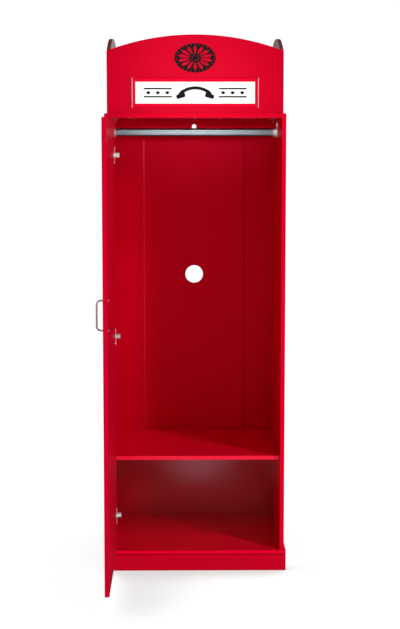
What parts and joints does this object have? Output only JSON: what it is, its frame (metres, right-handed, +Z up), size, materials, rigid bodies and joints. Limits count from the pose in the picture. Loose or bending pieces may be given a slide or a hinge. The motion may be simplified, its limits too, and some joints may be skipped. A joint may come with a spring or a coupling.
{
  "type": "telephone box styled cabinet",
  "caption": "Tall red cabinet shaped like a telephone box: arched header box, sign panel, plinth, one side-hung door, hanging rail and shelf inside.",
  "frame": {"origin": "centre of the footprint of the plinth, on the floor", "axes": "+Z up, the open front faces -Y, +X to the right seen from the front"},
  "size_m": [0.648, 1.141, 1.9],
  "materials": {
    "red_lacquer": "satin to gloss red lacquer on fibreboard",
    "red_hardboard": "satin red lacquered thin board",
    "red_plastic": "moulded red joint strip",
    "bare_wood": "bare softwood and birch",
    "zinc": "bright zinc plated steel",
    "nickel": "nickel plated pressed steel",
    "chrome_trim": "polished chrome",
    "rail_aluminium": "satin anodised",
    "satin_handle": "satin chromed rod",
    "white_plate": "smooth white plate",
    "black_plastic": "satin black",
    "pale_trim": "pale moulded trim"
  },
  "bodies": {
    "cabinet": {"back_joint_strips": "red_plastic", "back_panel_centre": "red_hardboard", "back_panel_left": "red_hardboard", "back_panel_lower": "red_hardboard", "back_panel_right": "red_hardboard", "bottom_panel": "red_lacquer", "cam_bolts": "zinc", "cam_locks": "zinc", "corner_bracket_screws": "zinc", "hanging_rail": "rail_aluminium", "header_battens": "bare_wood", "header_corner_blocks": "bare_wood", "header_front": "red_lacquer", "header_left": "red_lacquer", "header_rear": "red_lacquer", "header_right": "red_lacquer", "header_screws": "zinc", "hinge_arm_screws": "zinc", "hinge_arms": "nickel", "hinge_mounting_plates": "nickel", "hinge_plate_screws": "zinc", "ornament_plate": "black_plastic", "plinth_centre_rail": "bare_wood", "plinth_corner_blocks": "bare_wood", "plinth_front": "red_lacquer", "plinth_left": "red_lacquer", "plinth_rear": "red_lacquer", "plinth_right": "red_lacquer", "plinth_screws": "zinc", "rail_bracket_left": "chrome_trim", "rail_bracket_right": "chrome_trim", "rail_bracket_screws": "zinc", "shelf": "red_lacquer", "shelf_pins": "zinc", "side_panel_left": "red_lacquer", "side_panel_right": "red_lacquer", "sign_end_trims": "pale_trim", "sign_frame": "red_lacquer", "sign_pictogram": "black_plastic", "sign_plate": "white_plate", "top_corner_brackets": "zinc", "top_panel": "red_lacquer", "wood_dowels": "bare_wood"},
    "door": {"door_panel": "red_lacquer", "door_handle": "satin_handle", "door_handle_screws": "zinc", "hinge_cups": "nickel", "hinge_cup_screws": "zinc", "hinge_pins": "zinc"}
  },
  "joints": [
    {"name": "door_swing", "type": "hinge", "parent": "cabinet", "child": "door", "pos_m": [-0.289, -0.2675, 0.846], "axis": [0, 0, 1], "range_deg": [-5, 90]}
  ]
}
